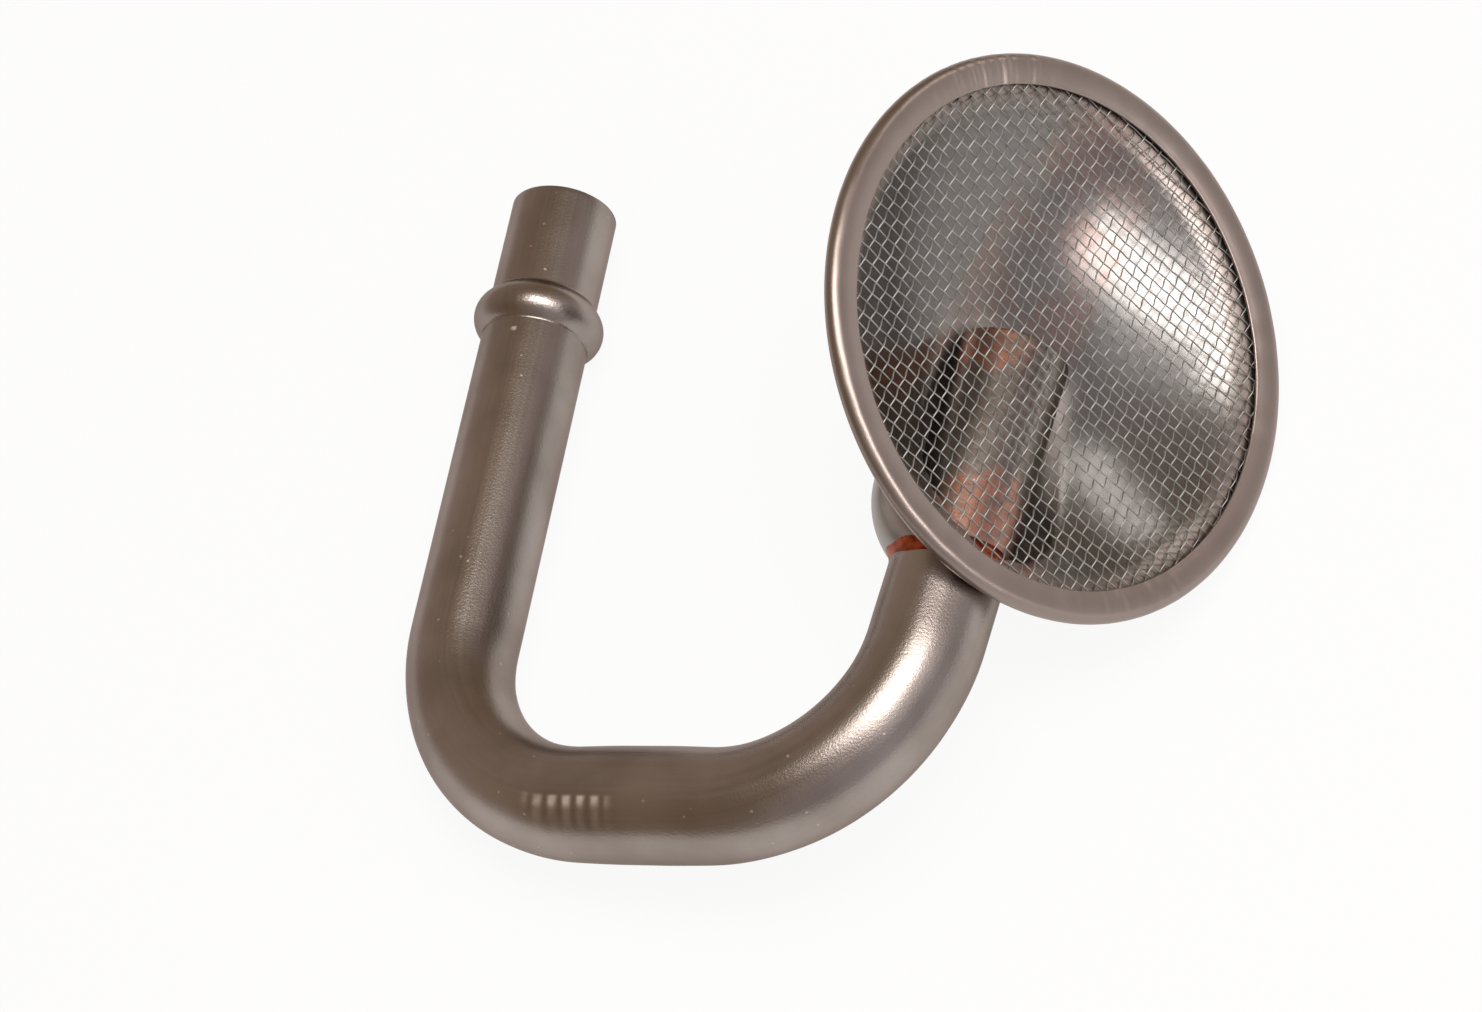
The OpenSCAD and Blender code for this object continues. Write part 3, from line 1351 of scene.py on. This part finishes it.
@dataclass
class CopperBraze:
    """The copper fillets round the tube, outside and inside the socket's wall, in millimetres."""

    cup: StrainerCup
    tube_r: float
    length: float = 1.5
    height: float = 1.1
    sag: float = 0.3
    # Shares of the sag outside and inside the wall
    sag_shares: tuple[float, float] = (0.6, 0.3)
    sink: float = 0.05
    least_rise: float = 0.02
    columns: int = 160
    steps: int = 9
    first_step: float = 0.08
    flow_waves: RingWaves = RingWaves(7, 2, 9, 5)
    flow_share: float = 0.12

    def build(self, material: bpy.types.Material) -> bpy.types.Object:
        """Turns the fillets' section round the tube and dresses it.

        Args:
            material: finish of the copper.

        Returns:
            The braze.
        """
        place = self.cup.place
        turns = turns_of(self.columns)
        flow = 1.0 + self.flow_share * self.flow_waves.heights(turns)
        outside = self.fillet(self.cup.socket_r, 1.0, flow)
        inside = self.fillet(self.cup.socket_r - self.cup.sheet, -1.0, flow)
        rows = [
            np.stack([radius * np.cos(turns), along, radius * np.sin(turns) - place.offset], -1)
            for radius, along in outside + inside[::-1]
        ]
        braze = grid_object("braze_copper", place.put(np.stack(rows)), True)
        hand_over(braze, Piece.BRAZE, material)
        return braze

    def fillet(self, wall: float, way: float, flow: np.ndarray) -> list[tuple[np.ndarray, np.ndarray]]:
        """Section of one hollow fillet, from the tube to the wall.

        Args:
            wall: radius of the round wall that it meets.
            way: 1 for the outside of the wall, -1 for the inside.
            flow: how far the copper has run at each place round the tube.

        Returns:
            Radii and places along the tube, each for the whole turn.
        """
        root = self.tube_r - self.sink
        reach = self.cup.socket_reach
        tip_along = reach + math.sqrt(wall**2 - self.tube_r**2) + way * self.length * flow
        foot_r = self.tube_r + self.height * flow
        foot_along = reach + np.sqrt(wall**2 - foot_r**2) - way * self.sink
        sag = self.sag * self.sag_shares[0 if way > 0 else 1]
        rows = [(np.full_like(flow, root), tip_along)]
        for share in np.linspace(self.first_step, 1.0, self.steps):
            hollow = sag * math.sin(math.pi * share)
            radius = root + (foot_r - root) * share - hollow
            along = tip_along + (foot_along - tip_along) * share - way * hollow
            rows.append((np.maximum(radius, root + self.least_rise * share), along))
        return rows


@dataclass(frozen=True)
class SoftLamp:
    """A soft rectangular lamp: its azimuth from +Y towards +X and its elevation, its size and its watts."""

    name: str
    towards: tuple[float, float]
    size: tuple[float, float]
    power: float
    for_cup_only: bool = False


@dataclass
class Studio:
    """Camera, soft lamps and a plain pale floor, in millimetres and degrees."""

    camera_at: tuple[float, float, float] = (240.8, -379.1, 571.9)
    aim_at: tuple[float, float, float] = (49.6, -68.1, 16.1)
    camera_roll: float = 25.0
    focal_px: float = 4000.0
    image_width_px: int = 1482
    sensor: float = 36.0
    clip_from: float = 10.0
    lamp_far: float = 900.0
    lamp_tint: str = "#fffcf9"
    lamps: tuple[SoftLamp, ...] = (
        SoftLamp("key_lamp", (104.0, 77.0), (420.0, 600.0), 5.3),
        SoftLamp("soft_wall", (105.0, 47.0), (700.0, 420.0), 0.5),
        SoftLamp("window", (107.0, 37.0), (250.0, 660.0), 3.2, for_cup_only=True),
        SoftLamp("side_lamp", (42.0, 24.0), (360.0, 200.0), 0.5, for_cup_only=True),
    )
    floor_size: float = 4000.0
    floor_white: str = "#f6f6f4"
    floor_roughness: float = 0.9
    # Share of plain white that each kind of ray sees
    floor_shown: tuple[tuple[str, float], ...] = (
        ("Is Camera Ray", 0.92),
        ("Is Glossy Ray", 0.6),
        ("Is Transmission Ray", 0.6),
    )
    bright_side: tuple[float, float] = (115.0, 10.0)
    # How far a direction faces the bright side, and the tone of the room there
    room_tones: tuple[tuple[float, str], ...] = (
        (-0.9, "#b3a093"),
        (-0.3, "#8e7a64"),
        (0.1, "#8e7a64"),
        (0.9, "#bdb6ba"),
    )

    def camera(self) -> None:
        """Puts the camera where the photograph was taken from."""
        spot, aim = Vector(self.camera_at), Vector(self.aim_at)
        ahead = (aim - spot).normalized()
        level = ahead.cross(Vector((0.0, 0.0, 1.0))).normalized()
        upright = level.cross(ahead)
        roll = math.radians(self.camera_roll)
        up = upright * math.cos(roll) + level * math.sin(roll)
        right = ahead.cross(up)
        data = bpy.data.cameras.new("camera")
        data.sensor_width = self.sensor
        data.lens = self.focal_px / self.image_width_px * self.sensor
        data.clip_start = self.clip_from * MM
        camera = bpy.data.objects.new("camera", data)
        turn = Matrix((right, up, -ahead)).transposed().to_4x4()
        camera.matrix_world = Matrix.Translation(spot * MM) @ turn
        bpy.context.scene.collection.objects.link(camera)
        bpy.context.scene.camera = camera

    @staticmethod
    def way(towards: tuple[float, float]) -> Vector:
        """Unit vector towards a place in the room.

        Args:
            towards: azimuth from +Y towards +X, and elevation from the floor.

        Returns:
            The vector.
        """
        a, e = (math.radians(v) for v in towards)
        return Vector((math.sin(a) * math.cos(e), math.cos(a) * math.cos(e), math.sin(e)))

    def hang(self, lamp: SoftLamp) -> None:
        """Hangs a lamp so that it looks at the part.

        Args:
            lamp: the lamp.
        """
        data = bpy.data.lights.new(lamp.name, "AREA")
        data.shape = "RECTANGLE"
        data.size, data.size_y = (side * MM for side in lamp.size)
        data.energy = lamp.power
        data.color = linear(self.lamp_tint)[:3]
        hung = bpy.data.objects.new(lamp.name, data)
        way = self.way(lamp.towards)
        hung.location = (Vector(self.aim_at) + way * self.lamp_far) * MM
        hung.rotation_euler = way.to_track_quat("Z", "Y").to_euler()
        bpy.context.scene.collection.objects.link(hung)

    def light_cup_only(self, cup: bpy.types.Object) -> None:
        """Keeps the lamps that are there for the bowl's highlights off the other pieces.

        Args:
            cup: the finished cup.
        """
        lit = bpy.data.collections.new("lit_cup")
        lit.objects.link(cup)
        for lamp in self.lamps:
            if lamp.for_cup_only:
                bpy.data.objects[lamp.name].light_linking.receiver_collection = lit

    def room(self) -> None:
        """Fills the room with dim brown light that turns pale towards its window and its far wall."""
        world = bpy.data.worlds.new("room")
        world.use_nodes = True
        tree = world.node_tree
        looking = add_node(tree, "ShaderNodeTexCoord")
        facing = add_node(
            tree,
            "ShaderNodeVectorMath",
            {0: looking.outputs["Generated"], 1: self.way(self.bright_side)},
            operation="DOT_PRODUCT",
        )
        share = add_node(
            tree,
            "ShaderNodeMapRange",
            {"Value": facing.outputs["Value"], "From Min": -1.0, "From Max": 1.0},
        )
        tone = add_node(tree, "ShaderNodeValToRGB", {0: share.outputs[0]})
        stops = tone.color_ramp.elements
        while len(stops) < len(self.room_tones):
            stops.new(1.0)
        for stop, (facing_at, tint) in zip(stops, self.room_tones):
            stop.position = (facing_at + 1.0) / 2.0
            stop.color = linear(tint)
        tree.links.new(tone.outputs[0], tree.nodes["Background"].inputs["Color"])
        bpy.context.scene.world = world

    def floor(self) -> None:
        """Lays a pale floor under the part, white to the camera and in the metal, with a soft shadow."""
        level = CAD_BOX[0][2]
        half = self.floor_size / 2 * MM
        mesh = bpy.data.meshes.new("floor")
        corners = ((-half, -half), (half, -half), (half, half), (-half, half))
        mesh.from_pydata([(x, y, level) for x, y in corners], [], [(0, 1, 2, 3)])
        floor = bpy.data.objects.new("floor", mesh)
        bpy.context.scene.collection.objects.link(floor)
        material = bpy.data.materials.new("pale_floor")
        material.use_nodes = True
        tree = material.node_tree
        matte = tree.nodes["Principled BSDF"]
        matte.inputs["Base Color"].default_value = linear(self.floor_white)
        matte.inputs["Roughness"].default_value = self.floor_roughness
        rays = add_node(tree, "ShaderNodeLightPath")
        shown: float | bpy.types.NodeSocket = 0.0
        for ray, most in self.floor_shown:
            share = add_node(tree, "ShaderNodeMath", {0: rays.outputs[ray], 1: most}, operation="MULTIPLY")
            shown = add_node(
                tree, "ShaderNodeMath", {0: shown, 1: share.outputs[0]}, operation="MAXIMUM"
            ).outputs[0]
        white = add_node(tree, "ShaderNodeEmission", {"Color": (1.0, 1.0, 1.0, 1.0), "Strength": 1.0})
        mixed = add_node(tree, "ShaderNodeMixShader", {0: shown, 1: matte.outputs[0], 2: white.outputs[0]})
        tree.links.new(mixed.outputs[0], tree.nodes["Material Output"].inputs["Surface"])
        mesh.materials.append(material)

    def build(self) -> None:
        """Sets up camera, lamps, room and floor."""
        bpy.context.scene.view_settings.view_transform = "Standard"
        self.camera()
        for lamp in self.lamps:
            self.hang(lamp)
        self.room()
        self.floor()


def mount_radius(name: str) -> float:
    """Radius of one of the part's mounts.

    Args:
        name: the mount's name.

    Returns:
        The radius in millimetres.
    """
    return next(m["dims"]["r_mm"] for m in frame["record"]["mounts"] if m["name"] == name)


def main() -> None:
    """Builds every piece in order."""
    logging.basicConfig(level=logging.INFO)
    path = BentPath()
    place = StrainerPlace(path)
    tube_r = mount_radius("press_end")
    studio = Studio()
    studio.build()
    nick = ToothMarks(first=30.4, spacing=1.4, count=1, around=13.5, height=1.4, trail=1.0)
    tube = PickupTube(path, tube_r, mount_radius("oil_bore"))
    tube.build(DrawnSteel().material((ToothMarks(), nick)))
    strainer = StrainerCup(place)
    cup = strainer.build(PressedSteel().material())
    studio.light_cup_only(cup)
    WovenScreen(place).build(GALVANISED_WIRE.material())
    CopperBraze(strainer, tube_r).build(BRAZING_COPPER.material())


if __name__ == "__main__":
    main()
